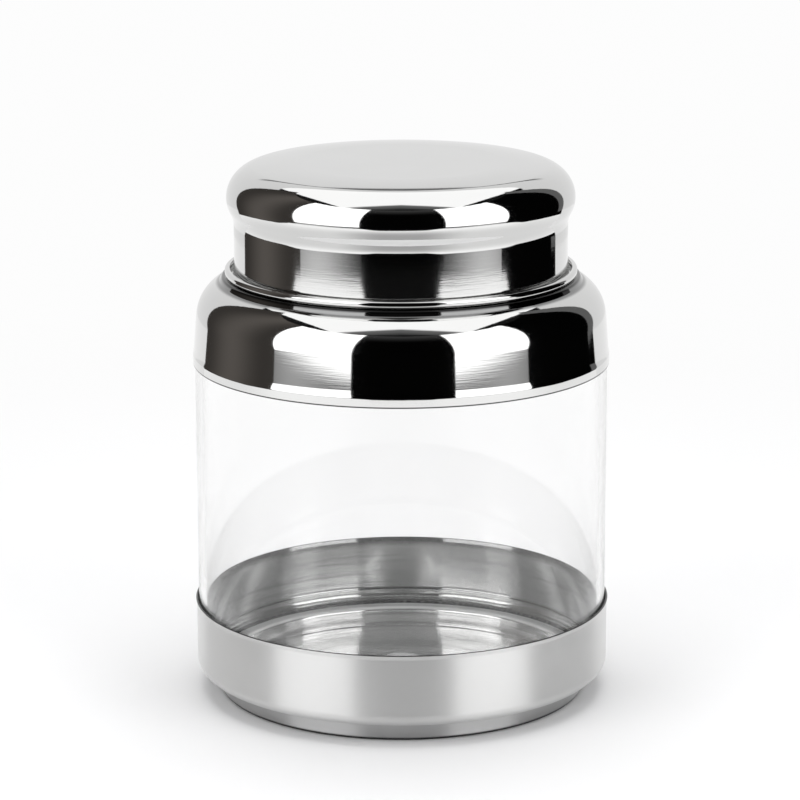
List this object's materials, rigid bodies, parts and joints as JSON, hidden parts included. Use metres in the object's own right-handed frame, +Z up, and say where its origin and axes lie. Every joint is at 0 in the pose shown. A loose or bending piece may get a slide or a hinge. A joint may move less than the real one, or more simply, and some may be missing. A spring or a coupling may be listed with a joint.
{
  "type": "storage canister",
  "caption": "Round storage canister with a clear wall between a pressed steel base cup and a domed steel shoulder, closed by a slip-over steel lid.",
  "frame": {"origin": "centre of the foot ring, on the surface that the canister stands on", "axes": "+Z up along the axis that every piece is round about; +X and +Y are free because the object is round"},
  "size_m": [0.1156, 0.1156, 0.149],
  "materials": {
    "polished_steel": "mirror-polished stainless steel",
    "satin_steel": "stainless steel with a fine brushed finish round the axis",
    "clear_wall": "clear, colourless and smooth",
    "seal": "clear silicone with a soft skin"
  },
  "bodies": {
    "canister": {"base_cup": "satin_steel", "lower_seal": "seal", "glass_tube": "clear_wall", "upper_seal": "seal", "shoulder_collar": "polished_steel"},
    "lid": {"lid": "polished_steel"}
  },
  "joints": [
    {"name": "lid_lift", "type": "slide", "parent": "canister", "child": "lid", "axis": [0, 0, 1], "range_m": [0, 0.12]}
  ]
}
